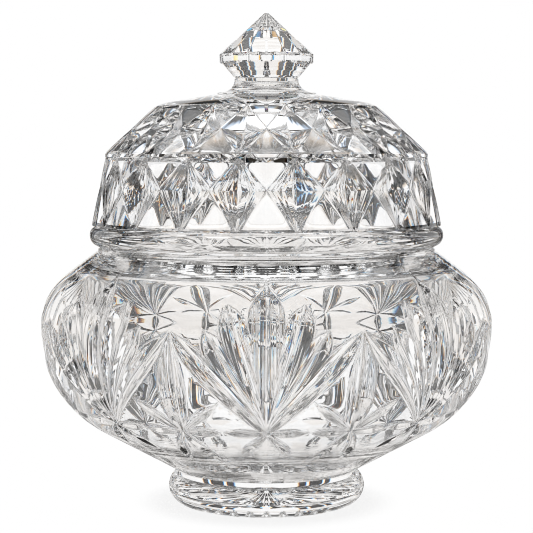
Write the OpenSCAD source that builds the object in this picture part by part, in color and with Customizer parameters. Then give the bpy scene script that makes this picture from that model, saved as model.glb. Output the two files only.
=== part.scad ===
// Covered candy dish in clear cut crystal: a bowl on a foot, with a domed cover and a cut finial.
// The dish stands on the plane z = 0, with its axis on +Z and the front at -Y.

/* [Bowl] */
// Widest diameter of the bowl
bowl_d = 152; // [135:1:170]
// Height of the widest level above the table
belly_z = 59.2; // [56:0.1:62]
// Height of the bowl's rim, on which the cover rests
rim_z = 86.5; // [83:0.1:92]
// Radius of the belly's curve above the widest level
shoulder_r = 23; // [20:0.1:25]
// Radius of the belly's curve below the widest level
under_r = 37.5; // [34:0.1:39]
// Outer diameter of the collar at the rim
collar_d = 113; // [108:0.5:118]
// Height of the plain collar below the rim
collar_h = 1.6; // [1:0.1:3]
// Diameter of the mouth
mouth_d = 99.6; // [92:0.1:104]
// Depth of the straight mouth below the rim
mouth_h = 6.5; // [5:0.5:9]
// Thickness of the glass at the belly
wall = 11.5; // [9:0.1:13]
// Radius of the rounding inside, under the shoulder
inside_top_r = 13; // [11:0.1:14]
// Height of the mouth's lower end above the middle of that rounding
inside_drop = 14.5; // [13:0.1:17]
// Radius of the rounding inside, between the floor and the wall
inside_low_r = 26; // [22:0.1:28]
// Height of the floor inside the bowl
floor_z = 23.8; // [22:0.1:30]
// Diameter of the stem where the bowl stands on its foot
stem_d = 60.6; // [54:0.2:66]
// Height of the plain stem above the foot
stem_h = 2.1; // [1.5:0.1:4]

/* [Cut pattern] */
// Number of fans round the bowl, with a star between each two
fans = 8; // [6:1:10]
// Height of the fan and star centres above the table
pattern_z = 34; // [32:0.1:37]
// Rise of a fan's middle leaf above the fan centre
fan_rise = 44.7; // [38:0.1:46]
// Rise of the apex in which two fans and a star meet
apex_rise = 31.6; // [26:0.1:33]
// Depth of a fan's middle leaf
leaf_depth = 3.3; // [1.5:0.1:3.6]
// Depth of the star rays
ray_depth = 2.2; // [1:0.1:2.4]
// Half-width of a mitre cut for each unit of its depth
mitre = 1.45; // [1:0.05:1.7]

/* [Foot] */
// Widest diameter of the foot
foot_d = 66.4; // [62:0.1:74]
// Height of the foot, up to the seam with the bowl
foot_h = 9.5; // [8:0.1:12]
// Rays of the star cut under the foot
foot_rays = 32; // [24:2:36]
// Depth of the rays under the foot
foot_cut = 5.5; // [2:0.1:6]
// Width of the plain ring on which the dish stands
foot_ring = 1.6; // [1:0.1:3]

/* [Cover] */
// Diameter of the cover at its rim bead
cover_d = 118.6; // [116:0.1:124]
// Height of the rim bead
bead_h = 7.6; // [6:0.1:9]
// Diameter of the cover at the ridge
ridge_d = 108; // [100:0.5:112]
// Height of the ridge above the rim of the bowl
ridge_rise = 30.9; // [26:0.1:34]
// Diameter of the plain crown inside the upper diamonds
crown_d = 75; // [68:0.5:80]
// Height of the crown's edge above the ridge
crown_rise = 16.4; // [14:0.1:19]
// Height of the pad under the finial above the crown's edge
pad_rise = 3.6; // [2:0.1:5]
// Thickness of the glass of the cover
cover_wall = 5; // [4.6:0.1:7]
// Diamonds in each band of the cover
diamonds = 20; // [16:1:24]
// Depth of a diamond's middle below the line between its side corners
diamond_depth = 1.9; // [0.8:0.1:2.2]
// Height of the flange that drops into the mouth
flange_h = 6; // [4:0.5:7]
// Thickness of the flange
flange_t = 4.4; // [3:0.1:6]
// Free space round the flange in the mouth
flange_gap = 0.9; // [0.4:0.1:1.5]

/* [Finial] */
// Facets of the finial
facets = 12; // [8:2:12]
// Width of the finial over its corners
finial_d = 32.6; // [28:0.2:38]
// Height of the upright facets
girdle_h = 3.4; // [2:0.1:6]
// Height of the pointed top
point_h = 13.2; // [9:0.1:17]
// Diameter of the little flat on the point
tip_d = 2; // [1:0.1:4]
// Height of the taper under the upright facets
taper_h = 5; // [3:0.1:7]
// Diameter of the neck
neck_d = 21.4; // [16:0.2:24]
// Height of the neck above the pad
neck_h = 5.4; // [4:0.1:8]
// Diameter of the flared end of the neck
flare_d = 33; // [26:0.5:38]

/* [Hidden] */
$fn = 96;
glass = [0.86, 0.9, 0.92];
lip = 2.2;
overrun = 0.7;
bowl_r = bowl_d / 2;
stem_r = stem_d / 2;
stem_top = foot_h + stem_h;
collar_r = collar_d / 2;
ridge_z = rim_z + ridge_rise;
crown_z = ridge_z + crown_rise;
pad_z = crown_z + pad_rise;
flange_r = mouth_d / 2 - flange_gap;
sector = 360 / fans;

// Belly curves: centres of the two arcs, and the points where a straight line leaves each of them.
up_c = [bowl_r - shoulder_r, belly_z];
low_c = [bowl_r - under_r, belly_z];
collar_p = [collar_r + 0.6, rim_z - collar_h];
stem_p = [stem_r, stem_top];

// Point where the tangent from p touches the circle at c with radius r; side is +1 or -1.
function tangent(p, c, r, side) = let (
    d = norm(p - c),
    a = atan2(p[1] - c[1], p[0] - c[0]) + side * acos(r / d)
  ) c + r * [cos(a), sin(a)];

up_t = tangent(collar_p, up_c, shoulder_r, -1);
low_t = tangent(stem_p, low_c, under_r, 1);

// Straight line from p to q, as a radius at height z.
function line_r(p, q, z) = p[0] + (q[0] - p[0]) * (z - p[1]) / (q[1] - p[1]);

// Radius of the uncut belly at height z.
function belly_r(z) =
  z > up_t[1] ? line_r(up_t, collar_p, z) :
  z > belly_z ? up_c[0] + sqrt(max(0, shoulder_r * shoulder_r - pow(z - belly_z, 2))) :
  z > low_t[1] ? low_c[0] + sqrt(max(0, under_r * under_r - pow(z - belly_z, 2))) :
  line_r(stem_p, low_t, z);

function turned(r, a, z) = [r * sin(a), -r * cos(a), z];

// A point of the belly at azimuth a and height z, and the outward direction there.
function belly_p(a, z) = turned(belly_r(z), a, z);
function belly_n(a, z) = let (
    s = (belly_r(z + 0.02) - belly_r(z - 0.02)) / 0.04,
    k = 1 / sqrt(1 + s * s)
  ) [k * sin(a), -k * cos(a), -k * s];

// Depth of a mitre cut along its way t: d0 at the start, d1 at the deepest place tm, nothing at the tip.
function cut_depth(t, d0, d1, tm) =
  t < tm ? d0 + (d1 - d0) * (1 - pow(1 - t / tm, 2)) : d1 * (1 - pow((t - tm) / (1 - tm), 2)) - 0.05;

// The three corners of a mitre cut's section at t, on the way from [azimuth, height] p to q.
function section(p, q, t, d) = let (
    w = p + (q - p) * t,
    e = (q - p) * 0.01,
    n = belly_n(w[0], w[1]),
    u = belly_p(w[0] + e[0], w[1] + e[1]) - belly_p(w[0] - e[0], w[1] - e[1]),
    c = cross(n, u),
    b = c / norm(c),
    foot_p = belly_p(w[0], w[1]) - d * n,
    h = d + lip
  ) [foot_p, foot_p + h * (n + mitre * b), foot_p + h * (n - mitre * b)];

// One mitre cut, as a wedge that follows the belly from p to q. It starts a little behind p, and each
// length of it reaches a little way into the next one.
module mitre_cut(p, q, d0, d1, tm, steps) {
  way = q - p;
  s = p - way * overrun / norm([way[0] * PI / 180 * belly_r(p[1]), way[1]]);
  for (i = [0 : steps - 1]) {
    a = section(s, q, i / steps, cut_depth(i / steps, d0, d1, tm));
    b = section(s, q, (i + 1) / steps, cut_depth((i + 1) / steps, d0, d1, tm));
    mid_a = (a[0] + a[1] + a[2]) / 3;
    mid_b = (b[0] + b[1] + b[2]) / 3;
    ahead = mid_b + 0.04 * (mid_b - mid_a);
    hull() polyhedron(points = concat(a, b, [ahead]), faces = [[0, 1, 2], [3, 5, 6], [3, 6, 4]]);
  }
}

// Seven leaves from one centre, the outer two running to the apex shared with the next fan.
module fan(a) {
  c = [a, pattern_z];
  ends = [
    [0, fan_rise, leaf_depth, 0.85],
    [0.407, fan_rise * 0.879, leaf_depth * 0.84, 0.75],
    [0.643, fan_rise * 0.72, leaf_depth * 0.72, 0.66],
    [1, apex_rise, leaf_depth * 0.68, 0.57]
  ];
  for (i = [0 : 3], s = i == 0 ? [1] : [-1, 1]) {
    e = ends[i];
    mitre_cut(c, c + [s * e[0] * sector / 2, e[1]], e[3], e[2], i == 3 ? 0.6 : 0.8, 5);
  }
  for (s = [-1, 1]) {
    mitre_cut(c, c + [s * sector * 0.22, 0.3], 0.48, ray_depth * 0.8, 0.6, 2);
    mitre_cut(c, c + [s * sector * 0.14, -7.2], 0.41, ray_depth * 0.7, 0.6, 2);
  }
}

// Seven rays from one centre, the upright one running to the apex.
module star(a) {
  c = [a, pattern_z];
  mitre_cut(c, c + [0, apex_rise], 0.75, ray_depth * 1.25, 0.42, 4);
  for (s = [-1, 1]) {
    mitre_cut(c, c + [s * sector * 0.245, 10.5], 0.6, ray_depth, 0.6, 2);
    mitre_cut(c, c + [s * sector * 0.24, 0], 0.52, ray_depth * 0.8, 0.6, 2);
    mitre_cut(c, c + [s * sector * 0.15, -13], 0.45, ray_depth * 0.75, 0.6, 2);
  }
}

// Outline of the uncut bowl, from the stem up to the rim.
function bowl_outline() = concat(
  [[0, foot_h], [stem_r - 0.7, foot_h], [stem_r, foot_h + 0.6], stem_p],
  [for (z = [0 : 9]) let (
      a0 = atan2(low_t[1] - low_c[1], low_t[0] - low_c[0]),
      a = a0 * (1 - z / 10)
    ) low_c + under_r * [cos(a), sin(a)]],
  [for (z = [0 : 7]) let (
      a1 = atan2(up_t[1] - up_c[1], up_t[0] - up_c[0]),
      a = a1 * z / 7
    ) up_c + shoulder_r * [cos(a), sin(a)]],
  [collar_p, [collar_r, rim_z - collar_h], [collar_r, rim_z - 0.5], [collar_r - 0.5, rim_z], [0, rim_z]]
);

// The bowl's outside with every cut made.
module cut_belly() {
  union() {
    difference() {
      rotate(180 / 64) rotate_extrude($fn = 64) polygon(bowl_outline());
      for (k = [0 : fans - 1]) {
        fan(k * sector);
        star((k + 0.5) * sector);
      }
    }
  }
}

// Outline of the hollow: the floor, a round corner, the upright wall, a round under the shoulder, the mouth.
function hollow_outline() = let (
    in_r = bowl_r - wall,
    mouth_z = rim_z - mouth_h,
    low = [in_r - inside_low_r, floor_z + inside_low_r],
    top = [in_r - inside_top_r, mouth_z - inside_drop]
  ) concat(
    [[0, floor_z]],
    [for (i = [0 : 8]) let (a = -90 + 90 * i / 8) low + inside_low_r * [cos(a), sin(a)]],
    [for (i = [0 : 6]) let (a = 75 * i / 6) top + inside_top_r * [cos(a), sin(a)]],
    [[mouth_d / 2, mouth_z], [mouth_d / 2, rim_z + 1], [0, rim_z + 1]]
  );

// Bowl, cut on its outside and hollow inside.
module bowl() {
  color(glass) difference() {
    cut_belly();
    rotate_extrude($fn = 48) polygon(hollow_outline());
  }
}

// One ray of the star under the foot: a groove that widens outward and ends in a point.
module foot_ray(r0, r1, r2, w) {
  polyhedron(
    points = [[r0, 0, -0.5], [r1, w, -0.5], [r2, 0, -0.5], [r1, -w, -0.5], [r1, 0, foot_cut]],
    faces = [[3, 2, 1, 0], [0, 1, 4], [1, 2, 4], [2, 3, 4], [3, 0, 4]]
  );
}

// Foot: a thick ring-edged disc with a star cut in its underside.
module foot() {
  r = foot_d / 2;
  rest_r = r - 2.4;
  ray_r = rest_r - foot_ring;
  color(glass) difference() {
    rotate_extrude() polygon(concat(
      [[0, 0], [rest_r, 0]],
      [for (a = [-75 : 15 : 0]) [r - 2.6 + 2.6 * cos(a), 3.2 + 3.2 * sin(a)]],
      [[r, foot_h - 4.6], [r - 0.5, foot_h - 1.8], [r - 1.1, foot_h - 0.5], [r - 1.6, foot_h], [0, foot_h]]
    ));
    for (k = [0 : foot_rays - 1]) {
      rotate(k * 360 / foot_rays) foot_ray(6, ray_r - 4, ray_r, (ray_r - 4) * sin(180 / foot_rays) * 0.92);
    }
  }
}

// Corner rings of one band of diamonds. Each diamond has a top, a bottom and two shared side corners, and
// a sunk crease that bows from the top to the bottom. A flat fan of triangles closes each end of the solid.
module diamond_band(top, side, low, sink) {
  n = diamonds;
  step = 360 / n;
  mid = [side[0] * cos(step / 2), side[1]];
  d = low - top;
  inward = [d[1], -d[0]] / norm(d);
  rings = [
    [top, 0.5],
    [side, 0],
    [low, 0.5],
    [(top + mid) / 2 + 0.75 * sink * inward, 0.5],
    [mid + sink * inward, 0.5],
    [(low + mid) / 2 + 0.75 * sink * inward, 0.5]
  ];
  pts = concat(
    [for (g = rings, k = [0 : n - 1]) turned(g[0][0], (k + g[1]) * step, g[0][1])],
    [[0, 0, top[1]], [0, 0, low[1]]]
  );
  faces = [for (k = [0 : n - 1]) let (
      j = (k + 1) % n,
      crease = [k, 3 * n + k, 4 * n + k, 5 * n + k, 2 * n + k],
      b = 2 * n + k,
      s0 = n + k,
      s1 = n + j
    ) each concat(
      [for (i = [0 : 3]) [crease[i], s1, crease[i + 1]]],
      [for (i = [0 : 3]) [crease[i], crease[i + 1], s0]],
      [[k, j, s1], [s1, 2 * n + j, b], [6 * n, j, k], [6 * n + 1, b, 2 * n + j]]
    )];
  polyhedron(points = pts, faces = faces);
}

// Section of the crown above the upper diamonds, rising to the pad.
module crown_section() {
  polygon([
    [0, ridge_z + 2],
    [crown_d / 2 - 6, crown_z - 3],
    [crown_d / 2 - 0.4, crown_z - 0.5],
    [crown_d / 2 - 3, crown_z + 0.6],
    [flare_d / 2 + 5.5, pad_z - 0.9],
    [flare_d / 2 + 0.6, pad_z],
    [0, pad_z]
  ]);
}

// Section of the bead round the cover's rim, and of the flange below it.
module bead_section() {
  r = cover_d / 2;
  polygon(concat(
    [[flange_r - flange_t, rim_z - flange_h], [flange_r - 0.6, rim_z - flange_h]],
    [[flange_r, rim_z - flange_h + 0.8], [flange_r, rim_z], [collar_r - 0.3, rim_z]],
    [for (a = [-60 : 20 : 60]) [r - 3.2 + 3.2 * cos(a), rim_z + bead_h - 3.6 + 3.6 * sin(a)]],
    [[r - 3, rim_z + bead_h], [flange_r - flange_t, rim_z + bead_h]]
  ));
}

// Section of the hollow of the cover.
module cover_hollow() {
  rim_r = flange_r - flange_t;
  skirt_r = cover_d / 2 - 1.4 - cover_wall;
  top_r = ridge_d / 2 - cover_wall - 1;
  polygon([
    [0, rim_z - flange_h - 1],
    [rim_r, rim_z - flange_h - 1],
    [rim_r, rim_z + 1.5],
    [skirt_r, rim_z + bead_h],
    [top_r, ridge_z - 3],
    [crown_d / 2 - cover_wall - 2, crown_z - cover_wall - 1.4],
    [flare_d / 2, crown_z - cover_wall],
    [0, crown_z - cover_wall]
  ]);
}

// Cover: two bands of sunk diamonds that meet at a ridge, a plain crown, a rim bead and a locating flange.
module cover() {
  bead_top = rim_z + bead_h - 0.2;
  skirt_h = ridge_z - 1 - bead_top;
  color(glass) difference() {
    union() {
      rotate_extrude() crown_section();
      diamond_band(
        [crown_d / 2, crown_z - 0.8],
        [crown_d / 2 + (ridge_d - crown_d) / 2 * 0.46 + 0.6, ridge_z + crown_rise * 0.5],
        [ridge_d / 2 - 0.3, ridge_z + 0.6],
        diamond_depth
      );
      rotate_extrude() polygon([
        [ridge_d / 2 - 3, ridge_z - 1.4],
        [ridge_d / 2 - 0.4, ridge_z - 1.4],
        [ridge_d / 2, ridge_z - 0.9],
        [ridge_d / 2, ridge_z + 0.2],
        [ridge_d / 2 - 0.7, ridge_z + 0.9],
        [ridge_d / 2 - 3, ridge_z + 0.9]
      ]);
      diamond_band(
        [ridge_d / 2 - 0.2, ridge_z - 1],
        [(ridge_d + cover_d) / 4 - 0.6, bead_top + skirt_h * 0.56],
        [cover_d / 2 - 0.8, bead_top],
        diamond_depth
      );
      rotate_extrude() bead_section();
    }
    rotate_extrude() cover_hollow();
  }
}

// Finial: a facetted point and girdle on a round, flared neck.
module finial() {
  r = finial_d / 2;
  z1 = pad_z + neck_h;
  z2 = z1 + taper_h;
  z3 = z2 + girdle_h;
  fillet_r = (flare_d - neck_d) / 2;
  color(glass) {
    rotate(180 / facets) {
      translate([0, 0, z3]) cylinder(h = point_h, r1 = r, r2 = tip_d / 2, $fn = facets);
      translate([0, 0, z2]) cylinder(h = girdle_h, r = r, $fn = facets);
      translate([0, 0, z1]) cylinder(h = taper_h, r1 = neck_d / 2 + 0.4, r2 = r, $fn = facets);
    }
    rotate_extrude() polygon(concat(
      [[0, pad_z], [flare_d / 2, pad_z]],
      [for (a = [0 : 15 : 90]) [
          flare_d / 2 - fillet_r * sin(a),
          pad_z + 0.4 + (neck_h - 1) * (1 - cos(a))
        ]],
      [[neck_d / 2, z1 + 0.3], [0, z1 + 0.3]]
    ));
  }
}

bowl();
foot();
cover();
finial();
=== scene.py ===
# %% [markdown]
# A covered candy dish in clear cut crystal. The CAD model gives four glass solids on two bodies: the
# bowl with its foot, and the cover with its finial. Each pair is fused hot on the real dish, so here
# each pair becomes one closed skin of glass, because a ray must not meet a wall where there is none.
# Sizes are in millimetres, the same as in the CAD source, and become metres when a mesh is made.

# %% Load the frame
import math

import bmesh
import bpy
import numpy as np
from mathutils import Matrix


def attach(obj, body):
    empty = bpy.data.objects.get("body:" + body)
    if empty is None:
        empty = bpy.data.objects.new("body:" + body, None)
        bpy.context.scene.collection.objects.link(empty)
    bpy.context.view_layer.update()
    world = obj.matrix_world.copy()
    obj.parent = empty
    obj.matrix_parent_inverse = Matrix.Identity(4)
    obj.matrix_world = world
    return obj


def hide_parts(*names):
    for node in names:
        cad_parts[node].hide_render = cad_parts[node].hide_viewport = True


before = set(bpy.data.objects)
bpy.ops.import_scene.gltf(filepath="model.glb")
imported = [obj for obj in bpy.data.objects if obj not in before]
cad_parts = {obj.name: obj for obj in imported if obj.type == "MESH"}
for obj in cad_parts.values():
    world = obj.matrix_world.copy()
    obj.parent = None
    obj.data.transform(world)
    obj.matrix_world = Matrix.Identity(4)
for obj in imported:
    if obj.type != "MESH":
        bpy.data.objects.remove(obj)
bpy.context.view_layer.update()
MM = 0.001

# %% [markdown]
# Every blank on this dish was once turned: a profile carried round the axis. A profile is a list of
# radius and height pairs, and the surface is the product of those radii with a circle of angles. Points
# on the axis are single vertices, so that the poles are closed. Blender's Screw modifier could turn a
# profile too. Arrays are used because they can give every point something more: a UV map, named strokes,
# keeps how far the point lies across the stroke of the tool, and the finish draws the tool's lines by it.

# %% Turned blanks
MERGE_GAP = 0.0005
TURNED_SIDES = 192


def outward(points, faces, strokes=None):
    """Object made from arrays in mm, with doubled points merged and its faces turned outwards. Strokes
    gives each point its distance across the tool's stroke in mm and how strong the marks are there."""
    mesh = bpy.data.meshes.new("blank")
    mesh.from_pydata(np.asarray(points, float) * MM, [], faces)
    corner = np.empty(len(mesh.loops), np.int32)
    mesh.loops.foreach_get("vertex_index", corner)
    strokes = np.zeros((len(points), 2)) if strokes is None else np.asarray(strokes, float)
    layer = mesh.uv_layers.new(name="strokes")
    layer.uv.foreach_set("vector", strokes[corner].astype(np.float32).ravel())
    shell = bmesh.new()
    shell.from_mesh(mesh)
    bmesh.ops.remove_doubles(shell, verts=shell.verts, dist=MERGE_GAP * MM)
    bmesh.ops.recalc_face_normals(shell, faces=shell.faces)
    shell.to_mesh(mesh)
    shell.free()
    body = bpy.data.objects.new("blank", mesh)
    bpy.context.scene.collection.objects.link(body)
    return body


def tube_walls(rings, around):
    """Faces between the rings of a closed tube: point j of ring i, the next point round, and the same two
    on the next ring."""
    i = around * np.arange(rings - 1)[:, None]
    j = np.arange(around)
    k = (j + 1) % around
    return np.stack([i + j, i + k, i + around + k, i + around + j], -1).reshape(-1, 4).tolist()


def fan_cap(hub, ring):
    """Triangles from the point hub to a closed ring of points."""
    return np.stack([np.full(len(ring), hub), ring, np.roll(ring, -1)], -1).tolist()


def swept(profile, a, share, marks=0.0):
    """Closed solid: (r k sin a, -r k cos a, z) for every profile point and every angle a with its share k.
    The profile runs from the axis at the bottom, round the outside, to the axis at the top. Marks says how
    strong the turning lines are, at every point or all over."""
    profile = np.asarray(profile, float)
    ring = profile[1:-1]
    sides = len(a)
    x = ring[:, :1] * share * np.sin(a)
    y = -ring[:, :1] * share * np.cos(a)
    z = np.repeat(ring[:, 1:], sides, axis=1)
    points = np.stack([x, y, z], -1).reshape(-1, 3)
    poles = [[0, 0, profile[0, 1]], [0, 0, profile[-1, 1]]]
    low, high = len(points), len(points) + 1
    first = np.arange(sides)
    faces = tube_walls(len(ring), sides) + fan_cap(low, first) + fan_cap(high, low - sides + first)
    along = np.append(0, np.cumsum(np.hypot(*np.diff(profile, axis=0).T)))
    strokes = np.stack([along, np.broadcast_to(marks, along.shape)], -1)
    strokes = np.vstack([np.repeat(strokes[1:-1], sides, axis=0), strokes[[0, -1]]])
    return outward(np.vstack([points, poles]), faces, strokes)


def revolved(profile, marks=0.0):
    """Solid of revolution: the swept solid with even angles and the share 1."""
    return swept(profile, 2 * np.pi * np.arange(TURNED_SIDES) / TURNED_SIDES, np.ones(TURNED_SIDES), marks)


def closed(ring):
    """Profile that goes straight to the axis from the first and from the last point of a ring."""
    ring = np.vstack(ring)
    return np.vstack([[0, ring[0, 1]], ring, [0, ring[-1, 1]]])


def arc(centre, radius, start, end, steps):
    """Points of an arc in the profile plane, from one angle in degrees to another."""
    a = np.radians(np.linspace(start, end, steps + 1))
    return np.stack([centre[0] + radius * np.cos(a), centre[1] + radius * np.sin(a)], -1)


print("turned blanks have", TURNED_SIDES, "sides")

# %% [markdown]
# The belly is two arcs that meet at the widest level, with a straight line running off each of them:
# up to the collar and down to the stem. The same curve is needed twice, as a blank and as the surface
# that the cuts follow, so it is a function of the height.

# %% The belly's curve
BOWL_R = 76.0
BELLY_Z = 59.2
RIM_Z = 86.5
SHOULDER_R = 23.0
UNDER_R = 37.5
COLLAR_R = 56.5
COLLAR_H = 1.6
COLLAR_STEP = 0.6
STEM_R = 30.3
FOOT_H = 9.5
STEM_TOP = FOOT_H + 2.1
SLOPE_STEP = 0.02

UP_C = np.array([BOWL_R - SHOULDER_R, BELLY_Z])
LOW_C = np.array([BOWL_R - UNDER_R, BELLY_Z])
COLLAR_P = np.array([COLLAR_R + COLLAR_STEP, RIM_Z - COLLAR_H])
STEM_P = np.array([STEM_R, STEM_TOP])


def tangent(p, c, r, side):
    """Point where the tangent from p touches the circle at c with radius r."""
    away = p - c
    a = math.atan2(away[1], away[0]) + side * math.acos(r / np.hypot(*away))
    return c + r * np.array([math.cos(a), math.sin(a)])


UP_T = tangent(COLLAR_P, UP_C, SHOULDER_R, -1)
LOW_T = tangent(STEM_P, LOW_C, UNDER_R, 1)


def line_r(p, q, z):
    """Radius at height z on the straight line from p to q."""
    return p[0] + (q[0] - p[0]) * (z - p[1]) / (q[1] - p[1])


def belly_r(z):
    """Radius of the uncut belly at height z: line, lower arc, upper arc, line."""
    upper = UP_C[0] + np.sqrt(np.maximum(0, SHOULDER_R**2 - (z - BELLY_Z) ** 2))
    lower = LOW_C[0] + np.sqrt(np.maximum(0, UNDER_R**2 - (z - BELLY_Z) ** 2))
    return np.select(
        [z > UP_T[1], z > BELLY_Z, z > LOW_T[1]],
        [line_r(UP_T, COLLAR_P, z), upper, lower],
        line_r(STEM_P, LOW_T, z),
    )


def belly_p(a, z):
    """Point of the belly at azimuth a in degrees, 0 at the front, and height z."""
    r, a = belly_r(z), np.radians(a)
    return np.stack([r * np.sin(a), -r * np.cos(a), z], -1)


def belly_n(a, z):
    """Outward direction of the belly there, from the slope of the radius."""
    slope = (belly_r(z + SLOPE_STEP) - belly_r(z - SLOPE_STEP)) / (2 * SLOPE_STEP)
    k, a = 1 / np.sqrt(1 + slope**2), np.radians(a)
    return np.stack([k * np.sin(a), -k * np.cos(a), -k * slope], -1)


print("belly: straight below", round(LOW_T[1], 1), "mm and above", round(UP_T[1], 1), "mm")

# %% [markdown]
# The cutter holds the bowl against a wheel with a V-shaped edge. Each pass leaves a mitre: two polished
# walls, ground slightly hollow, that meet in a crease. The cut reaches MITRE times its depth to each side,
# is deepest part of the way along, and runs out to a point. Polishing rounds the crease and the shoulders
# a little, and those narrow rounds are what draws the bright and dark lines along every cut. Bevelled boxes
# could stand in for the wheel, but they would leave flat walls and one width. So the wedge that a pass takes
# away is a section carried along a path on the belly, and first come the section's own curves.

# %% Section of a mitre
MITRE = 1.75
CREASE_R = 0.22
SHOULDER_E = 0.2
SKIM = 0.03
STRAIGHT = 0.65
SHALLOW = 0.2
RUN_OUT = 0.25
NEAR_CREASE = np.array([0.1, 0.28])
ON_WALL = np.array([0.3, 0.55, 0.77])
BY_SHOULDER = np.array([-0.3, -0.1, 0.1, 0.3, 0.6])
APART = 0.004


def rounded(s, r):
    """Distance from the crease with its kink rounded: the root of s squared plus r squared, less r."""
    return np.sqrt(s**2 + r**2) - r


def softened(v, e):
    """Depth with a round shoulder: half the sum of v and the root of v squared plus e squared, less a thin
    skim."""
    return 0.5 * (v + np.sqrt(v**2 + e**2)) - SKIM


def cut_depth(t, d0, d1, tm, blunt, bulge):
    """Depth along the way t: d0 at the start, d1 at the deepest place tm, above the glass past the tip.
    The larger the powers, the rounder the tip, and the more the sides bulge instead of widening evenly."""
    rise = d0 + (d1 - d0) * (1 - np.abs(1 - t / tm) ** bulge)
    fall = d1 - (d1 + RUN_OUT) * (np.maximum(0, t - tm) / (1 - tm)) ** blunt
    return np.where(t < tm, rise, fall)


def wall_depth(s, d):
    """Depth at the distance s from the crease of a cut as deep as d: it falls with the distance, partly
    evenly and partly with its square, which hollows the walls."""
    w = rounded(s, CREASE_R) / MITRE
    return d[:, None] - STRAIGHT * w - (1 - STRAIGHT) * w**2 / np.maximum(d, SHALLOW)[:, None]


def across_points(half):
    """Places across the cut, from the crease out past the shoulder, closer where the section bends."""
    half = np.maximum(half, 0)[:, None]
    places = np.hstack([0 * half + NEAR_CREASE, ON_WALL * half, half + BY_SHOULDER])
    s = np.sort(np.abs(places), axis=1) + APART * np.arange(places.shape[1])
    return np.hstack([-s[:, ::-1], 0 * half, s])


print("mitre walls rise at about", round(math.degrees(math.atan(1 / MITRE))), "degrees")

# %% [markdown]
# The path of a pass is a straight line in azimuth and height, laid on the belly. At each step the places
# across the cut are set off at right angles to the path, and each of them is sunk along the belly's own
# normal. Two more points above the glass close the section, so the wedge is a closed tube. The steps get
# closer towards the tip, where the width changes fastest.

# %% Mitre cuts
LIP = 2.2
OVERRUN = 0.7
CROWDING = 0.55
NUDGE = 0.01
FULL_MARKS = 0.4
STROKE_SHIFT = 40


def beside(a, z, way, half):
    """Azimuths, heights and distances of the places across a path through a and z."""
    n = belly_n(a, z)
    ea, ez = way * NUDGE
    side = np.cross(n, belly_p(a + ea, z + ez) - belly_p(a - ea, z - ez))
    side /= np.linalg.norm(side, axis=1, keepdims=True)
    round_way = np.stack([np.cos(np.radians(a)), np.sin(np.radians(a)), 0 * a], -1)
    up_way = np.cross(round_way, n)
    side_a = np.degrees((side * round_way).sum(1) / belly_r(z))
    side_z = (side * up_way).sum(1) * up_way[:, 2]
    s = across_points(half)
    return a[:, None] + s * side_a[:, None], z[:, None] + s * side_z[:, None], s


def mitre_cut(p, way, d0, d1, tm, steps, blunt=2.0, bulge=1.6):
    """Wedge from the centre p, which is azimuth and height, along way on the belly: the belly's points less
    their depth times the belly's normal. Its strokes run along the path."""
    p, way = np.asarray(p, float), np.asarray(way, float)
    length = np.hypot(np.radians(way[0]) * belly_r(p[1]), way[1])
    start = p - way * OVERRUN / length
    way = p + way - start
    t = np.linspace(0, 1, steps + 1)
    t = t + CROWDING * t * (1 - t)
    a, z = (start + way * t[:, None]).T
    d = cut_depth(t, d0, d1, tm, blunt, bulge)
    at_a, at_z, s = beside(a, z, way, MITRE * d)
    v = wall_depth(s, d)
    skin, out = belly_p(at_a, at_z), belly_n(at_a, at_z)
    below = skin - softened(v, SHOULDER_E)[..., None] * out
    above = skin[:, [-1, 0]] + LIP * out[:, [-1, 0]]
    rings = np.concatenate([below, above], 1)
    m = rings.shape[1]
    first = list(range(m))
    last = [m * steps + x for x in reversed(first)]
    strokes = np.stack([s + STROKE_SHIFT * d1 + way[0], np.clip(v / FULL_MARKS, 0, 1)], -1)
    strokes = np.concatenate([strokes, strokes[:, [-1, 0]]], 1).reshape(-1, 2)
    return outward(rings.reshape(-1, 3), [first] + tube_walls(steps + 1, m) + [last], strokes)


print("every pass starts", OVERRUN, "mm behind its centre and reaches", LIP, "mm above the glass")

# %% [markdown]
# Eight fans stand round the bowl, each of seven leaves from one centre. The outer leaves of two fans
# meet in an apex, and below it a star of seven slender rays fills the space. Four short rays also leave
# the centre of each fan. Fans and stars are one list of cuts, turned by an eighth of a turn each time.

# %% Fans and stars
FANS = 8
SECTOR = 360 / FANS
PATTERN_Z = 34.0
FAN_RISE = 44.7
APEX_RISE = 31.6
LEAF = 2.4
LEAF_STEPS = 24
LEAVES = [
    # share of the half sector, rise, depth, depth at the centre, deepest place, roundness of the tip
    (0, FAN_RISE, LEAF * 1.25, 0.7, 0.76, 2.5),
    (0.407, FAN_RISE * 0.879, LEAF, 0.62, 0.78, 2.8),
    (0.643, FAN_RISE * 0.72, LEAF * 0.85, 0.55, 0.76, 2.5),
    (1, APEX_RISE, LEAF * 0.8, 0.47, 0.6, 2.0),
]
RAY_FORM = {"d1": 0.95, "tm": 0.62, "steps": 16, "blunt": 1.6, "bulge": 1.2}
FAN_RAYS = [(0.25, 0.3, 0.3), (0.17, -8.6, 0.3)]
STAR_RAYS = [(0.255, 10.5, 0.35), (0.245, 0, 0.3), (0.15, -13, 0.3)]
SPEAR_FORM = {"d0": 0.62, "d1": 2.4, "tm": 0.4, "steps": 20}


def short_rays(c, rays):
    """Pairs of rays to both sides of c: share of the sector, rise, and depth at the centre."""
    pairs = [(side, *ray) for side in (-1, 1) for ray in rays]
    return [mitre_cut(c, (side * share * SECTOR, rise), d0, **RAY_FORM) for side, share, rise, d0 in pairs]


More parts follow.
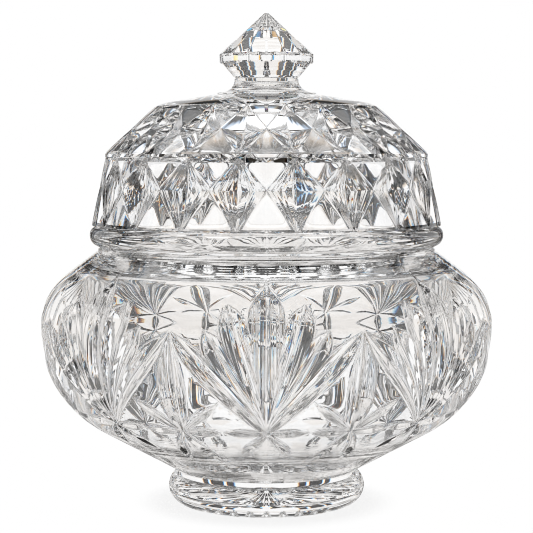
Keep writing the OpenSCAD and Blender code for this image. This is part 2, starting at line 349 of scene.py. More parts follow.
def fan_cuts(a):
    """Seven leaves and four short rays round the fan's centre."""
    c = (a, PATTERN_Z)
    cuts = []
    for share, rise, depth, d0, tm, blunt in LEAVES:
        for side in (-1, 1) if share else (1,):
            cuts.append(mitre_cut(c, (side * share * SECTOR / 2, rise), d0, depth, tm, LEAF_STEPS, blunt))
    return cuts + short_rays(c, FAN_RAYS)


def star_cuts(a):
    """Seven rays, the upright one running to the apex like a spear."""
    c = (a, PATTERN_Z)
    return [mitre_cut(c, (0, APEX_RISE), **SPEAR_FORM)] + short_rays(c, STAR_RAYS)


belly_cuts = []
for k in range(FANS):
    belly_cuts += fan_cuts(k * SECTOR) + star_cuts((k + 0.5) * SECTOR)
print("wedges for the belly:", len(belly_cuts))

# %% [markdown]
# Cutting is a boolean: the blank minus the wedges. Blender's manifold solver is quick on closed meshes
# such as these, and it takes a whole collection of wedges at once. The helper applies it and throws the
# tools away, so that what stays is one plain mesh.

# %% Adding and cutting away
SOLVER = "MANIFOLD"


def settled(body, tools, operation):
    """The body's mesh after one boolean with all the tools, which are then removed."""
    rack = bpy.data.collections.new("rack")
    bpy.context.scene.collection.children.link(rack)
    for tool in tools:
        rack.objects.link(tool)
    step = body.modifiers.new("cut", "BOOLEAN")
    step.operation = operation
    step.solver = SOLVER
    step.operand_type = "COLLECTION"
    step.collection = rack
    graph = bpy.context.evaluated_depsgraph_get()
    graph.update()
    mesh = bpy.data.meshes.new_from_object(body.evaluated_get(graph))
    body.modifiers.clear()
    body.data = mesh
    for tool in tools:
        bpy.data.objects.remove(tool)
    bpy.data.collections.remove(rack)
    return body


def added(body, *tools):
    """The body and the tools as one solid."""
    return settled(body, tools, "UNION")


def cut_away(body, *tools):
    """The body less the tools."""
    return settled(body, tools, "DIFFERENCE")


print("solver for adding and cutting:", SOLVER)

# %% [markdown]
# The bowl's blank runs from the stem up over the belly to the rim. Its hollow has a flat floor, a round
# corner, an upright wall and a smaller round under the shoulder. Above and below the cut pattern the lathe
# leaves rings in the glass, and the blank carries them as strokes of its own.

# %% The bowl's blank and hollow
MOUTH_R = 49.8
MOUTH_H = 6.5
FLOOR_Z = 23.8
INSIDE_R = 64.5
INSIDE_LOW = 26.0
INSIDE_TOP = 13.0
INSIDE_Z = 65.5
INSIDE_TURN = 75
ARC_STEPS = 30
TOP_STEPS = 24
OPEN = 1.0
STEM_EDGE = np.array([[-0.7, -1.0], [-0.7, 0.0], [0.0, 0.6]])
RIM_BEVEL = 0.5
LINED_Z = [22, 32, 78, 83]
LINED_MARKS = [0.3, 0, 0, 0.8]


def angle_of(p, c):
    """Direction from c to p in degrees."""
    return math.degrees(math.atan2(p[1] - c[1], p[0] - c[0]))


def bowl_blank():
    """Stem, lower arc, upper arc, collar and rim, closed through the axis."""
    profile = closed([
        [STEM_R, FOOT_H] + STEM_EDGE,
        STEM_P,
        arc(LOW_C, UNDER_R, angle_of(LOW_T, LOW_C), 0, ARC_STEPS),
        arc(UP_C, SHOULDER_R, 0, angle_of(UP_T, UP_C), ARC_STEPS)[1:],
        COLLAR_P,
        [[COLLAR_R, RIM_Z - COLLAR_H], [COLLAR_R, RIM_Z - RIM_BEVEL], [COLLAR_R - RIM_BEVEL, RIM_Z]],
    ])
    return revolved(profile, np.interp(profile[:, 1], LINED_Z, LINED_MARKS))


def bowl_hollow():
    """Floor, round corner, wall, round under the shoulder, and the mouth, running out above the rim."""
    return revolved(np.vstack([
        [0, FLOOR_Z],
        arc((INSIDE_R - INSIDE_LOW, FLOOR_Z + INSIDE_LOW), INSIDE_LOW, -90, 0, ARC_STEPS),
        arc((INSIDE_R - INSIDE_TOP, INSIDE_Z), INSIDE_TOP, 0, INSIDE_TURN, TOP_STEPS),
        [[MOUTH_R, RIM_Z - MOUTH_H], [MOUTH_R, RIM_Z + OPEN], [0, RIM_Z + OPEN]],
    ]))


print("bowl's wall at its widest:", round(BOWL_R - INSIDE_R, 1), "mm")

# %% [markdown]
# The foot is a thick disc with a well-rounded lower edge and a small step at its seam with the stem. A star
# of 32 flutes is ground into its underside, each with a round end. From the side they are seen through the
# rounded edge, which turns them into a ring of petals. Each flute is half an ellipse carried along a radius.

# %% The foot and its flutes
FOOT_R = 33.2
EDGE_W = 5.5
EDGE_H = 6.0
EDGE_START = -82
EDGE_STEPS = 14
FOOT_SEAM = np.array([[-0.5, -1.8], [-1.1, -0.5], [-1.6, 0.0]])
FLUTES = 32
FLUTE_CUT = 3.5
FLUTE_START = 6
FLUTE_R = 25.0
FLUTE_END = 4.2
FLUTE_SHARE = 0.94
FLUTE_CLEAR = 0.6
FLUTE_SINK = 0.01
END_TURNS = np.linspace(0.2, 1.56, 8)
ALONG_POINTS = 9
ACROSS_POINTS = 11


def foot_blank():
    """Flat underside, a quarter of an ellipse, the side and the step."""
    edge = [FOOT_R - EDGE_W, EDGE_H] + arc((0, 0), 1, EDGE_START, 0, EDGE_STEPS) * [EDGE_W, EDGE_H]
    return revolved(np.vstack([[0, 0], edge, [FOOT_R, FOOT_H] + FOOT_SEAM, [0, FOOT_H]]))


def flute(turn):
    """Half an ellipse that widens and deepens evenly along a radius and then ends in a round, turned about
    the axis."""
    tail = FLUTE_R + FLUTE_END * np.sin(END_TURNS)
    r = np.concatenate([np.linspace(FLUTE_START, FLUTE_R, ALONG_POINTS), tail])
    grown = (r - FLUTE_START) / (FLUTE_R - FLUTE_START)
    ended = np.sqrt(np.maximum(0, 1 - ((r - FLUTE_R) / FLUTE_END) ** 2))
    share = np.where(r < FLUTE_R, grown, ended)[:, None]
    half = FLUTE_R * math.sin(math.pi / FLUTES) * FLUTE_SHARE
    b = np.linspace(math.pi / 2, -math.pi / 2, ACROSS_POINTS)
    y, z = share * half * np.sin(b), share * FLUTE_CUT * np.cos(b) - FLUTE_SINK
    rings = np.stack([np.broadcast_to(r[:, None], y.shape), y, z], -1)
    below = rings[:, [-1, 0]] * [1, 1, 0] - [0, 0, FLUTE_CLEAR]
    rings = np.concatenate([rings, below], 1)
    steps, m = rings.shape[:2]
    c, s = math.cos(turn), math.sin(turn)
    points = rings.reshape(-1, 3) @ np.array([[c, s, 0], [-s, c, 0], [0, 0, 1]])
    first = list(range(m))
    last = [m * (steps - 1) + x for x in reversed(first)]
    return outward(points, [first] + tube_walls(steps, m) + [last])


footed_bowl = bowl_blank()
footed_bowl.name = "footed_bowl"
footed_bowl = added(footed_bowl, foot_blank())
footed_bowl = cut_away(footed_bowl, *belly_cuts)
footed_bowl = cut_away(footed_bowl, bowl_hollow())
footed_bowl = cut_away(footed_bowl, *[flute(2 * math.pi * k / FLUTES) for k in range(FLUTES)])
print("footed bowl:", len(footed_bowl.data.vertices), "points,", len(footed_bowl.data.polygons), "faces")

# %% [markdown]
# The cover carries two bands of diamonds, each cut with a wheel held upright: two walls meet in an upright
# crease, straight edges bound them, and there is no crease across. Wedges and a boolean could cut them as on
# the bowl. Here a whole band is one grid instead. Its rows run round the cover, and on each row the columns
# crowd where the diamond's edge passes, so that the edge can be a narrow round instead of a step.

# %% Diamond bands
DIAMONDS = 20
SINK = 2.6
EDGE_E = 0.13
INSIDE_SHARES = np.array([0, 0.03, 0.09, 0.22, 0.42, 0.62, 0.8, 0.91, 0.97])
OUTSIDE_SHARES = np.array([0, 0.06, 0.16, 0.35, 0.65])
ROW_SHARES = np.array([0, 0.02, 0.06, 0.12, 0.2, 0.3, 0.4, 0.5, 0.6, 0.7, 0.8, 0.88, 0.94, 0.98, 1.0])
NARROWEST = 0.1
MARKS_RISE = 6


def diamond_depth(a, b, wide):
    """Depth at the share a of the half width and b of the half height: (1 + b) (1 - a - b). It is nought on
    the straight edge a + b = 1, a V across, and a bow along the crease; soft at the edge and the crease."""
    return softened(SINK * (1 + b) * (1 - rounded(a, CREASE_R / wide) - b), EDGE_E)


def diamond_band(top, side, low, marks):
    """Grid of radius and height over angle, less the depth along the slope's normal, closed at both ends.
    Top, side and low are the radius and height of the band's edges and of the diamonds' side corners."""
    top, side, low = np.array([top, side, low], float)
    b = np.concatenate([ROW_SHARES[::-1], ROW_SHARES[1:]])[:, None]
    upper = (np.arange(len(b)) < len(ROW_SHARES))[:, None]
    base = side + b * (np.where(upper, top, low) - side)
    edge = 1 - b
    half = np.hstack([edge * INSIDE_SHARES, edge + (1 - edge) * OUTSIDE_SHARES])
    shares = np.hstack([half, np.ones_like(b), 2 - half[:, :0:-1]])
    a = np.minimum(shares, 2 - shares)
    step = 2 * np.pi / DIAMONDS
    wide = step / 2 * side[0]
    slope = (top - low) / np.hypot(*(top - low))
    inward = np.array([-slope[1], slope[0]])
    sunk = base[:, None] + diamond_depth(a, b, wide)[..., None] * inward
    turns = (np.arange(DIAMONDS)[:, None, None] + 0.5) * step + shares * step / 2
    r = np.broadcast_to(sunk[..., 0], turns.shape)
    z = np.broadcast_to(sunk[..., 1], turns.shape)
    grid = np.stack([r * np.sin(turns), -r * np.cos(turns), z], -1)
    rows, cols = shares.shape
    m = DIAMONDS * cols
    grid = grid.transpose(1, 0, 2, 3).reshape(rows * m, 3)
    hub, ring = rows * m, np.arange(m)
    faces = tube_walls(rows, m) + fan_cap(hub, ring) + fan_cap(hub + 1, hub - m + ring)
    points = np.vstack([grid, [[0, 0, grid[0, 2]], [0, 0, grid[-1, 2]]]])
    signed = np.where(shares <= 1, shares, shares - 2) / np.maximum(1 - b, NARROWEST) * step / 2 * side[0]
    strokes = np.stack([signed, marks * np.clip((1 - a - b) * MARKS_RISE, 0, 1)], -1)
    strokes = np.broadcast_to(strokes[:, None], (rows, DIAMONDS, cols, 2)).reshape(-1, 2)
    return outward(points, faces, np.vstack([strokes, np.zeros((2, 2))]))


print("diamonds are sunk by", round(diamond_depth(0, 0, 1), 1), "mm where they are widest")

# %% [markdown]
# The upper band leans in to the crown and the lower band is nearly upright. Each is given by three places
# in the profile: its upper edge, the level of the diamonds' side corners, where it bows out a little or is
# drawn in, and its lower edge. The lower band's walls show the wheel's lines most.

# %% The two bands
RIDGE_R = 54.0
RIDGE_Z = RIM_Z + 30.9
COVER_R = 59.3
BEAD_H = 7.6
CROWN_R = 37.5
CROWN_RISE = 16.4
CROWN_Z = RIDGE_Z + CROWN_RISE
BAND_LOW = RIM_Z + BEAD_H - 0.2
BAND_TOP = RIDGE_Z - 1
UPPER_LEAN = 0.46
UPPER_LEVEL = 0.5
LOWER_LEVEL = 0.56
BOW = 0.6
UPPER_MARKS = 0.35
LOWER_MARKS = 1.6

upper_side = [CROWN_R + (RIDGE_R - CROWN_R) * UPPER_LEAN + BOW, RIDGE_Z + CROWN_RISE * UPPER_LEVEL]
lower_side = [(RIDGE_R + COVER_R) / 2 - BOW, BAND_LOW + (BAND_TOP - BAND_LOW) * LOWER_LEVEL]
upper_band = diamond_band([CROWN_R, CROWN_Z - 0.8], upper_side, [RIDGE_R - 0.3, RIDGE_Z + 0.6], UPPER_MARKS)
lower_band = diamond_band([RIDGE_R - 0.2, BAND_TOP], lower_side, [COVER_R - 0.8, BAND_LOW], LOWER_MARKS)
print("diamonds:", DIAMONDS, "in each band,", len(upper_band.data.polygons), "faces a band")

# %% [markdown]
# Above the bands lies a plain crown with the pad for the finial, between them a narrow ridge, and below
# them a round rim bead with the flange that drops into the mouth. All of them are turned, and filled to
# the axis, because the hollow is taken out in one piece at the end.

# %% Crown, ridge, bead and hollow
PAD_Z = CROWN_Z + 3.6
FLARE_R = 16.5
CROWN_UNDER = RIDGE_Z + 2
CROWN_EDGE = np.array([[-6.0, -3.0], [-0.4, -0.5], [-3.0, 0.6]])
PAD_EDGE = np.array([[5.5, -0.9], [0.6, 0.0]])
RIDGE_EDGE = np.array([[-0.4, -1.4], [0.0, -0.9], [0.0, 0.2], [-0.7, 0.9]])
FLANGE_H = 6.0
FLANGE_T = 4.4
FLANGE_R = MOUTH_R - 0.9
FLANGE_EDGE = np.array([[-0.6, 0.0], [0.0, 0.8]])
SEAT_Z = RIM_Z + 0.15
SEAT_IN = 0.3
BEAD_W = 3.2
BEAD_T = 3.6
BEAD_TURN = 60
BEAD_STEPS = 12
BEAD_IN = 3
BEAD_MARKS = 0.5
COVER_WALL = 5.0


def crown_blank():
    """Underside, the crown's bevelled edge and a low cone up to the flat pad."""
    return revolved(np.vstack([
        [0, CROWN_UNDER], [CROWN_R, CROWN_Z] + CROWN_EDGE, [FLARE_R, PAD_Z] + PAD_EDGE, [0, PAD_Z],
    ]))


def ridge_blank():
    """Narrow ring with two small chamfers."""
    return revolved(closed([[RIDGE_R, RIDGE_Z] + RIDGE_EDGE]))


def bead_blank():
    """Flange, seat and a round bead, with the lines of the lathe."""
    middle = [COVER_R - BEAD_W, RIM_Z + BEAD_H - BEAD_T]
    return revolved(closed([
        [FLANGE_R, RIM_Z - FLANGE_H] + FLANGE_EDGE,
        [[FLANGE_R, SEAT_Z], [COLLAR_R - SEAT_IN, SEAT_Z]],
        middle + arc((0, 0), 1, -BEAD_TURN, BEAD_TURN, BEAD_STEPS) * [BEAD_W, BEAD_T],
        [COVER_R - BEAD_IN, RIM_Z + BEAD_H],
    ]), BEAD_MARKS)


def cover_hollow():
    """The inside: up through the flange, out behind the bead, in again behind both bands to the crown."""
    flange_in = FLANGE_R - FLANGE_T
    return revolved(closed([
        [[flange_in, RIM_Z - FLANGE_H - OPEN], [flange_in, RIM_Z + 1.5]],
        [COVER_R - 1.4 - COVER_WALL, RIM_Z + BEAD_H],
        [RIDGE_R - COVER_WALL - 1, RIDGE_Z - 3],
        [CROWN_R - COVER_WALL - 2, CROWN_Z - COVER_WALL - 1.4],
        [FLARE_R, CROWN_Z - COVER_WALL],
    ]))


print("flange's gap in the mouth:", round(MOUTH_R - FLANGE_R, 1), "mm all round")

# %% [markdown]
# The finial is a solid knob: a point and a girdle ground into sixteen flat facets, with a ridge to the
# front, and a round taper and a flared neck below them that stay as they were turned. A narrow groove
# between the facets draws the ridges as lines. The facets are the turned profile again, carried round
# fewer angles, and at each angle a share of the radius keeps the facet flat and sinks the groove.

# %% The finial, and the cover joined
FACETS = 16
FACET_SHARE = 0.86
GROOVE = 0.024
FINIAL_R = 15.75
GIRDLE_H = 3.4
POINT_H = 13.2
TIP_R = 1.0
TIP_TOP = 0.6
TAPER_H = 5.0
NECK_R = 10.7
NECK_H = 5.4
NECK_STEPS = 12
NECK_MARKS = 1.0
TAPER_Z = PAD_Z + NECK_H
GIRDLE_Z = TAPER_Z + TAPER_H
POINT_Z = GIRDLE_Z + GIRDLE_H
TIP_Z = POINT_Z + POINT_H
GIRDLE_EDGE = np.array([[-0.4, -0.2], [0.0, 0.25]])
POINT_EDGE = np.array([[0.0, -0.5], [-0.8, 0.3]])
TIP_BEVEL = 0.3
TAPER_IN = 0.6


def facetted_knob():
    """Girdle and point over three angles a facet: both its edges, at the share cos h / cos e that makes it
    flat, with h half a facet's angle and e its edge's, and the groove's bottom."""
    half = math.pi / FACETS
    edge = half * FACET_SHARE
    within = np.array([-edge, edge, half])
    a = (2 * half * (np.arange(FACETS)[:, None] + 0.5) + within).ravel()
    flat = math.cos(half) / math.cos(edge)
    share = np.tile([flat, flat, flat - GROOVE], FACETS)
    return swept(closed([
        [FINIAL_R, GIRDLE_Z] + GIRDLE_EDGE,
        [FINIAL_R, POINT_Z] + POINT_EDGE,
        [[TIP_R, TIP_Z - TIP_BEVEL], [TIP_R * TIP_TOP, TIP_Z]],
    ]), a, share)


def neck_blank():
    """Flare that is a quarter of an ellipse, the upright neck, and the taper up to the girdle."""
    a = np.radians(np.linspace(0, 90, NECK_STEPS + 1))
    flare = np.stack([
        FLARE_R - (FLARE_R - NECK_R) * np.sin(a), PAD_Z + 0.4 + (NECK_H - 1) * (1 - np.cos(a))
    ], -1)
    return revolved(np.vstack([
        [[0, PAD_Z - OPEN], [FLARE_R, PAD_Z - OPEN]],
        flare,
        [[NECK_R, TAPER_Z - 0.3], [NECK_R - 0.5, TAPER_Z], [NECK_R + 0.4, TAPER_Z + 0.5]],
        [[FINIAL_R * math.cos(math.pi / FACETS) - TAPER_IN, GIRDLE_Z - 0.1], [0, GIRDLE_Z + 0.3]],
    ]), NECK_MARKS)


cover = crown_blank()
cover.name = "cover_with_finial"
cover = added(cover, upper_band, ridge_blank(), lower_band, bead_blank(), facetted_knob(), neck_blank())
cover = cut_away(cover, cover_hollow())
print("cover:", len(cover.data.vertices), "points,", len(cover.data.polygons), "faces")

# %% [markdown]
# Smooth faces bend light smoothly, and a crease must stay hard. So every face is smooth and every edge
# that turns by more than a small angle is marked sharp. The finial's facets are flat on the real knob, so
# from the girdle up the faces are shaded flat.

# %% Hard creases and smooth walls
CREASE = math.radians(16)
FACETTED_Z = GIRDLE_Z - 0.25
for piece in (footed_bowl, cover):
    piece.data.polygons.foreach_set("use_smooth", np.ones(len(piece.data.polygons), bool))
    piece.data.set_sharp_from_angle(angle=CREASE)
    centres = np.empty((len(piece.data.polygons), 3), np.float32)
    piece.data.polygons.foreach_get("center", centres.ravel())
    piece.data.polygons.foreach_set("use_smooth", centres[:, 2] < FACETTED_Z * MM)
    print(piece.name, "sharp edges:", sum(e.use_edge_sharp for e in piece.data.edges))

# %% [markdown]
# Materials, the table and the studio are all node trees. A few helpers keep their code short: one gives an
# input a constant or a link, and the others make the nodes that are used again and again.

# %% Node helpers
def feed(tree, slot, value):
    """Give an input a constant, or link another node's output to it."""
    if isinstance(value, bpy.types.NodeSocket):
        tree.links.new(value, slot)
    else:
        slot.default_value = value


def maths(tree, operation, *values):
    """Math node whose inputs are numbers or sockets."""
    node = tree.nodes.new("ShaderNodeMath")
    node.operation = operation
    for slot, value in zip(node.inputs, values):
        feed(tree, slot, value)
    return node.outputs[0]


def noise(tree, where, scale, detail):
    """Noise texture over a vector."""
    node = tree.nodes.new("ShaderNodeTexNoise")
    for name, value in (("Vector", where), ("Scale", scale), ("Detail", detail)):
        feed(tree, node.inputs[name], value)
    return node


def smooth_step(tree, value, low, high):
    """Smooth step of a socket from 0 at low to 1 at high."""
    node = tree.nodes.new("ShaderNodeMapRange")
    node.interpolation_type = "SMOOTHSTEP"
    for name, number in (("Value", value), ("From Min", low), ("From Max", high)):
        feed(tree, node.inputs[name], number)
    return node.outputs[0]


def colours(tree, blend, factor, first, second):
    """Two colours mixed by a factor, or blended in another way."""
    node = tree.nodes.new("ShaderNodeMix")
    node.data_type = "RGBA"
    node.blend_type = blend
    for name, value in (("Factor", factor), ("A", first), ("B", second)):
        feed(tree, node.inputs[name], value)
    return node.outputs["Result"]


def ramp(tree, value, stops):
    """Colour ramp through the stops, each a place from 0 to 1 and a colour."""
    node = tree.nodes.new("ShaderNodeValToRGB")
    elements = node.color_ramp.elements
    for place, colour in stops[1:-1]:
        elements.new(place)
    for element, (place, colour) in zip(elements, stops):
        element.color = (*colour, 1)
    feed(tree, node.inputs[0], value)
    return node.outputs[0]


def shaders(tree, factor, first, second, output):
    """Two shaders mixed by a factor, into the tree's output."""
    node = tree.nodes.new("ShaderNodeMixShader")
    for slot, value in zip(node.inputs, (factor, first.outputs[0], second.outputs[0])):
        feed(tree, slot, value)
    feed(tree, output.inputs["Surface"], node.outputs[0])


print("node helpers: feed, maths, noise, smooth_step, colours, ramp, shaders")

# %% [markdown]
# Lead crystal is clear, with a high index of refraction. Polished walls are never quite flat. A slow
# waviness lies on all of them, and in the cuts and on the turned rings the tool leaves fine lines along
# its stroke, which break up what is seen through the wall into long streaks. The meshes carry the distance
# across the stroke as a UV map, so the lines follow each cut: they are noise that changes fast over that
# distance and slowly over the place. A fine haze stays from the polishing. Bowl and cover share this as a
# node group, each with its own values.

# %% Polish
WAVE_SCALE = 55
WAVE_DETAIL = 1.5
LINE_SCALE = 22
HAZE_SCALE = 900
HAZE_DETAIL = 2


def polish_group():
    """Height in mm: slow waves plus lines along the stroke, which are noise over the distance across it;
    and a fine polishing haze as a roughness."""
    group = bpy.data.node_groups.new("polish", "ShaderNodeTree")
    for name, kind in (
        ("Vector", "Vector"), ("Stroke", "Vector"), ("Waves", "Float"),
        ("Lines", "Float"), ("Line Density", "Float"), ("Haze", "Float"),
    ):
        group.interface.new_socket(name, in_out="INPUT", socket_type="NodeSocket" + kind)
    for name in ("Height", "Roughness"):
        group.interface.new_socket(name, in_out="OUTPUT", socket_type="NodeSocketFloat")
    given = group.nodes.new("NodeGroupInput").outputs
    out = group.nodes.new("NodeGroupOutput")
    stroke = group.nodes.new("ShaderNodeSeparateXYZ")
    feed(group, stroke.inputs[0], given["Stroke"])
    waves = noise(group, given["Vector"], WAVE_SCALE, WAVE_DETAIL).outputs["Fac"]
    slow = maths(group, "MULTIPLY", waves, given["Waves"])
    line = noise(group, given["Vector"], LINE_SCALE, 0.0)
    line.noise_dimensions = "4D"
    feed(group, line.inputs["W"], maths(group, "MULTIPLY", stroke.outputs["X"], given["Line Density"]))
    strong = maths(group, "MULTIPLY", line.outputs["Fac"], stroke.outputs["Y"])
    fine = maths(group, "MULTIPLY", strong, given["Lines"])
    haze = noise(group, given["Vector"], HAZE_SCALE, HAZE_DETAIL).outputs["Fac"]
    feed(group, out.inputs["Height"], maths(group, "ADD", slow, fine))
    feed(group, out.inputs["Roughness"], maths(group, "MULTIPLY", haze, given["Haze"]))
    return group


polish = polish_group()
print("polish group:", len(polish.nodes), "nodes")

# %% [markdown]
# The glass itself is a Principled shader with full transmission. The polish group's height goes through a
# Bump node into the normal, and its haze into the roughness. The bowl's lines lie closer together than the
# cover's. Each piece then rides on its CAD body and stands for that body's solids.

# %% Crystal
LEAD_IOR = 1.545


def crystal(name, waves, lines, density, haze):
    """Clear glass with the polish group on its normal and roughness."""
    material = bpy.data.materials.new(name)
    material.use_nodes = True
    tree = material.node_tree
    shader = tree.nodes["Principled BSDF"]
    shader.inputs["Base Color"].default_value = (1, 1, 1, 1)
    shader.inputs["IOR"].default_value = LEAD_IOR
    shader.inputs["Transmission Weight"].default_value = 1
    where = tree.nodes.new("ShaderNodeTexCoord")
    across = tree.nodes.new("ShaderNodeUVMap")
    across.uv_map = "strokes"
    use = tree.nodes.new("ShaderNodeGroup")
    use.node_tree = polish
    for socket, value in (
        ("Vector", where.outputs["Object"]), ("Stroke", across.outputs["UV"]),
        ("Waves", waves), ("Lines", lines), ("Line Density", density), ("Haze", haze),
    ):
        feed(tree, use.inputs[socket], value)
    bump = tree.nodes.new("ShaderNodeBump")
    bump.inputs["Strength"].default_value = 1
    bump.inputs["Distance"].default_value = MM
    feed(tree, bump.inputs["Height"], use.outputs["Height"])
    feed(tree, shader.inputs["Roughness"], use.outputs["Roughness"])
    feed(tree, shader.inputs["Normal"], bump.outputs["Normal"])
    return material


bowl_crystal = crystal("bowl_crystal", waves=0.07, lines=0.15, density=0.055, haze=0.006)
cover_crystal = crystal("cover_crystal", waves=0.06, lines=0.11, density=0.04, haze=0.006)
for piece, finish, slot, body, nodes in (
    (footed_bowl, bowl_crystal, "bowl_crystal", "bowl", ("bowl", "foot")),
    (cover, cover_crystal, "cover_crystal", "cover", ("cover", "finial")),
):
    piece.data.materials.clear()
    piece.data.materials.append(finish)
    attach(piece, body)
    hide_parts(*nodes)
print("crystal on", footed_bowl.name, "and", cover.name)

# %% [markdown]
# The dish stands on a plain pale table with no horizon in the picture. To the camera the table is white,
# except round the foot, where it keeps the soft shadow. Rays that come through the glass see its own pale,
# slightly warm colour, and under the dish a painted shadow in the glow, broken by painted patches of the
# light that the crystal throws. A path tracer finds such thrown light only with very many samples, so a
# painted noise stands in for it.

# %% Table
TABLE_R = 170.0
TABLE_SIDES = 96
TABLE_DROP = 0.2
TABLE_PALE = (0.96, 0.94, 0.92, 1)
# Painted shadow: the glow's dark colour under the dish, which rays through the glass see.
TABLE_SHADE = (0.14, 0.135, 0.13, 1)
WHITE = (1, 1, 1, 1)
SHADE_NEAR = 0.04
SHADE_FAR = 0.11
SHADOW_NEAR = 0.033
SHADOW_FAR = 0.046
SHADOW_SHARE = 0.13
GLOW_SHARE = 0.9
# Painted light: a noise paints patches of the crystal's thrown light into that painted shadow.
THROWN_SCALE = 75
THROWN_DETAIL = 3
THROWN_TWIST = 0.8
THROWN_LOW = 0.42
THROWN_HIGH = 0.56


def white_table():
    """Pale diffuse mixed with a glow: all glow to the camera, less in the shadow, and mostly glow to rays
    that come through the glass, which see a painted shadow under the dish, broken by painted patches of
    light."""
    material = bpy.data.materials.new("white_table")
    material.use_nodes = True
    tree = material.node_tree
    tree.nodes.clear()
    out = tree.nodes.new("ShaderNodeOutputMaterial")
    mat = tree.nodes.new("ShaderNodeBsdfDiffuse")
    mat.inputs["Color"].default_value = TABLE_PALE
    path = tree.nodes.new("ShaderNodeLightPath").outputs
    where = tree.nodes.new("ShaderNodeTexCoord").outputs["Object"]
    away = tree.nodes.new("ShaderNodeVectorMath")
    away.operation = "LENGTH"
    feed(tree, away.inputs[0], where)
    far = away.outputs["Value"]
    # Painted shadow near the dish in the glow's colour, broken by painted patches of thrown light.
    thrown = noise(tree, where, THROWN_SCALE, THROWN_DETAIL)
    thrown.inputs["Distortion"].default_value = THROWN_TWIST
    light = smooth_step(tree, thrown.outputs["Fac"], THROWN_LOW, THROWN_HIGH)
    bright = maths(tree, "MAXIMUM", smooth_step(tree, far, SHADE_NEAR, SHADE_FAR), light)
    painted_shade = colours(tree, "MIX", bright, TABLE_SHADE, TABLE_PALE)
    glow = tree.nodes.new("ShaderNodeEmission")
    feed(tree, glow.inputs["Color"], colours(tree, "MIX", path["Is Camera Ray"], painted_shade, WHITE))
    open_table = maths(tree, "MULTIPLY", smooth_step(tree, far, SHADOW_NEAR, SHADOW_FAR), SHADOW_SHARE)
    seen = maths(tree, "MULTIPLY", path["Is Camera Ray"], maths(tree, "ADD", open_table, 1 - SHADOW_SHARE))
    through = maths(tree, "MAXIMUM", path["Is Transmission Ray"], path["Is Glossy Ray"])
    share = maths(tree, "MAXIMUM", seen, maths(tree, "MULTIPLY", through, GLOW_SHARE))
    shaders(tree, share, mat, glow, out)
    return material


def table():
    """Round top just under the foot."""
    a = 2 * np.pi * np.arange(TABLE_SIDES) / TABLE_SIDES
    points = TABLE_R * np.stack([np.cos(a), np.sin(a), 0 * a], -1) - [0, 0, TABLE_DROP]
    plane = outward(points, [list(range(TABLE_SIDES))])
    plane.name = "table"
    plane.data.materials.append(white_table())
    return plane


table()
print("table under the foot, shadow kept within", round(SHADOW_FAR / MM), "mm")

# %% [markdown]
# Clear glass has no colour of its own: it shows the room, bent. Crystal is photographed inside a white
# tent with dark gaps, because each edge then draws a bright and a dark line. Lamps could make such lines
# too, but only the world is seen from every side of a curved wall. So the tent is the world: eight upright
# panels with gaps between them, a narrow slit of cloth in every gap, and a dark ring higher up, the same
# from every eighth of a turn.

# %% The tent's cloth
PANELS = 8
STRIPES = [(0, 1), (13.0, 1), (14.0, 0), (17.0, 0), (17.5, 1), (18.5, 1), (19.0, 0), (22.5, 0)]
TABLE_GLOW = (0.96, 0.94, 0.92)
LOW_CLOTH = (0.76, 0.735, 0.71)
CLOTH = (0.9, 0.9, 0.9)
WARM_EDGE = (0.70, 0.60, 0.50)
RING_LOW = (0.11, 0.11, 0.11)
RING_TOP = (0.10, 0.10, 0.10)
COOL_EDGE = (0.45, 0.55, 0.68)
ROOF = (1.0, 1.0, 1.0)
PANEL_LEVELS = [
    (-90, TABLE_GLOW), (-30, TABLE_GLOW), (-22, LOW_CLOTH), (-4, LOW_CLOTH), (2, CLOTH), (23, CLOTH),
    (25, WARM_EDGE), (27, RING_LOW), (45, RING_TOP), (47, COOL_EDGE), (49, ROOF), (90, ROOF),
]
GAP_GREYS = [
    (-90, 0.10), (-4, 0.10), (2, 0.05), (24, 0.05), (27, 0.01), (45, 0.01), (49, 0.06), (55, 0.06),
    (58, 1.0), (90, 1.0),
]

world = bpy.data.worlds.new("studio")
bpy.context.scene.world = world
world.use_nodes = True
tent = world.node_tree
tent.nodes.clear()
split = tent.nodes.new("ShaderNodeSeparateXYZ")
feed(tent, split.inputs[0], tent.nodes.new("ShaderNodeTexCoord").outputs["Generated"])
turn = maths(tent, "DEGREES", maths(tent, "ARCTAN2", split.outputs["X"], split.outputs["Y"]))
rise = maths(tent, "DEGREES", maths(tent, "ARCSINE", split.outputs["Z"]))


def by_height(levels):
    """Colour over the height in degrees, from straight down to straight up."""
    place = maths(tent, "ADD", maths(tent, "DIVIDE", rise, 180.0), 0.5)
    return ramp(tent, place, [(degrees / 180 + 0.5, colour) for degrees, colour in levels])


def panel(shift):
    """1 on white cloth and 0 in a gap, for the turn shifted by some degrees: a ramp over a triangle wave."""
    off = maths(tent, "PINGPONG", maths(tent, "ADD", turn, 360 + shift), 180 / PANELS)
    stops = [(degrees * PANELS / 180, (white, white, white)) for degrees, white in STRIPES]
    return ramp(tent, maths(tent, "MULTIPLY", off, PANELS / 180), stops)


print("tent:", PANELS, "panels with", len(STRIPES), "stops across half a panel")

# %% [markdown]
# Lead crystal also splits colours a little, and a render with one index can't, so the panels' edges carry
# the blue and orange fringes: each colour sees the panels turned by a fraction of a degree. The camera sees
# plain white paper behind the dish, and rays that leave the glass towards a panel see that paper too.

# %% The tent's light
FRINGE = 0.2
TENT_LIGHT = 1.2
BACKDROP_MID = 12.5
BACKDROP_HALF = 10.0
FULL_CLOTH = 0.99

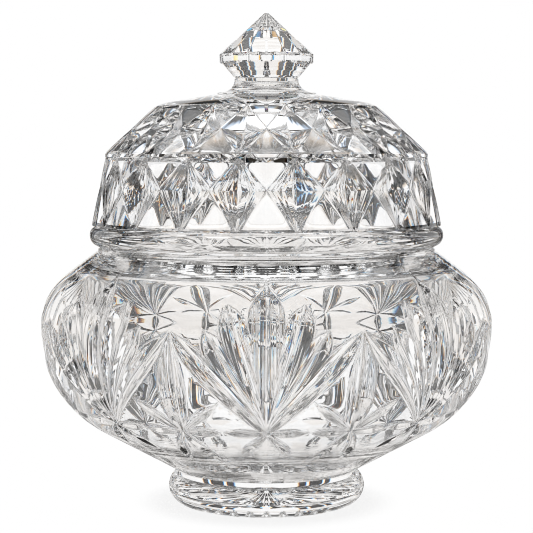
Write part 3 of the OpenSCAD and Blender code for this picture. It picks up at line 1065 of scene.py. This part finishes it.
white_cloth = maths(tent, "GREATER_THAN", panel(0), FULL_CLOTH)
backdrop = maths(tent, "MULTIPLY", white_cloth, maths(tent, "COMPARE", rise, BACKDROP_MID, BACKDROP_HALF))
mask = tent.nodes.new("ShaderNodeCombineColor")
for socket, shift in zip(mask.inputs, (FRINGE, 0, -FRINGE)):
    feed(tent, socket, panel(shift))
lit = colours(tent, "MULTIPLY", 1, mask.outputs[0], by_height(PANEL_LEVELS))
gaps = by_height([(degrees, (grey, grey, grey)) for degrees, grey in GAP_GREYS])
room = tent.nodes.new("ShaderNodeBackground")
feed(tent, room.inputs["Color"], colours(tent, "LIGHTEN", 1, lit, gaps))
room.inputs["Strength"].default_value = TENT_LIGHT
paper = tent.nodes.new("ShaderNodeBackground")
paper.inputs["Color"].default_value = WHITE
path = tent.nodes.new("ShaderNodeLightPath").outputs
glass_ray = maths(tent, "MAXIMUM", path["Is Glossy Ray"], path["Is Transmission Ray"])
behind = maths(tent, "MULTIPLY", glass_ray, backdrop)
sees_paper = maths(tent, "MAXIMUM", path["Is Camera Ray"], behind)
shaders(tent, sees_paper, room, paper, tent.nodes.new("ShaderNodeOutputWorld"))
print("studio:", len(tent.nodes), "nodes")

# %% [markdown]
# Light may bend and bounce nine times on its way. With more, every dark place fills with stray light and
# the crystal turns milky; with fewer, deep cuts go dark. A narrow pixel filter keeps the fine lines crisp.
# The denoiser usually gets the surface's colour and normal as guides, but glass shows what lies behind it,
# so here those guides only bring grain, and it works from the picture alone.

# %% Light paths
BOUNCES = 9
PIXEL_FILTER = 1.0

scene = bpy.context.scene
scene.view_settings.view_transform = "Standard"
scene.cycles.max_bounces = BOUNCES
scene.cycles.transmission_bounces = BOUNCES
scene.cycles.glossy_bounces = BOUNCES
scene.cycles.filter_width = PIXEL_FILTER
scene.cycles.denoising_input_passes = "RGB"
print("light paths of up to", BOUNCES, "bounces")

# %% [markdown]
# The camera looks slightly down from the front, with a long lens, as a product photographer would set it
# to keep the dish's sides upright. Its place was fitted to the outline of the dish in the picture.

# %% Camera
CAMERA_AT = (0, -0.5486, 0.1184)
LOOK_DOWN = 4.05
lens = bpy.data.cameras.new("camera")
lens.lens = 110.0
lens.sensor_width = 36.0
camera = bpy.data.objects.new("camera", lens)
camera.location = CAMERA_AT
camera.rotation_euler = (math.radians(90 - LOOK_DOWN), 0, 0)
scene.collection.objects.link(camera)
scene.camera = camera
print("camera", round(math.hypot(*CAMERA_AT), 2), "m away, looking", LOOK_DOWN, "degrees down")
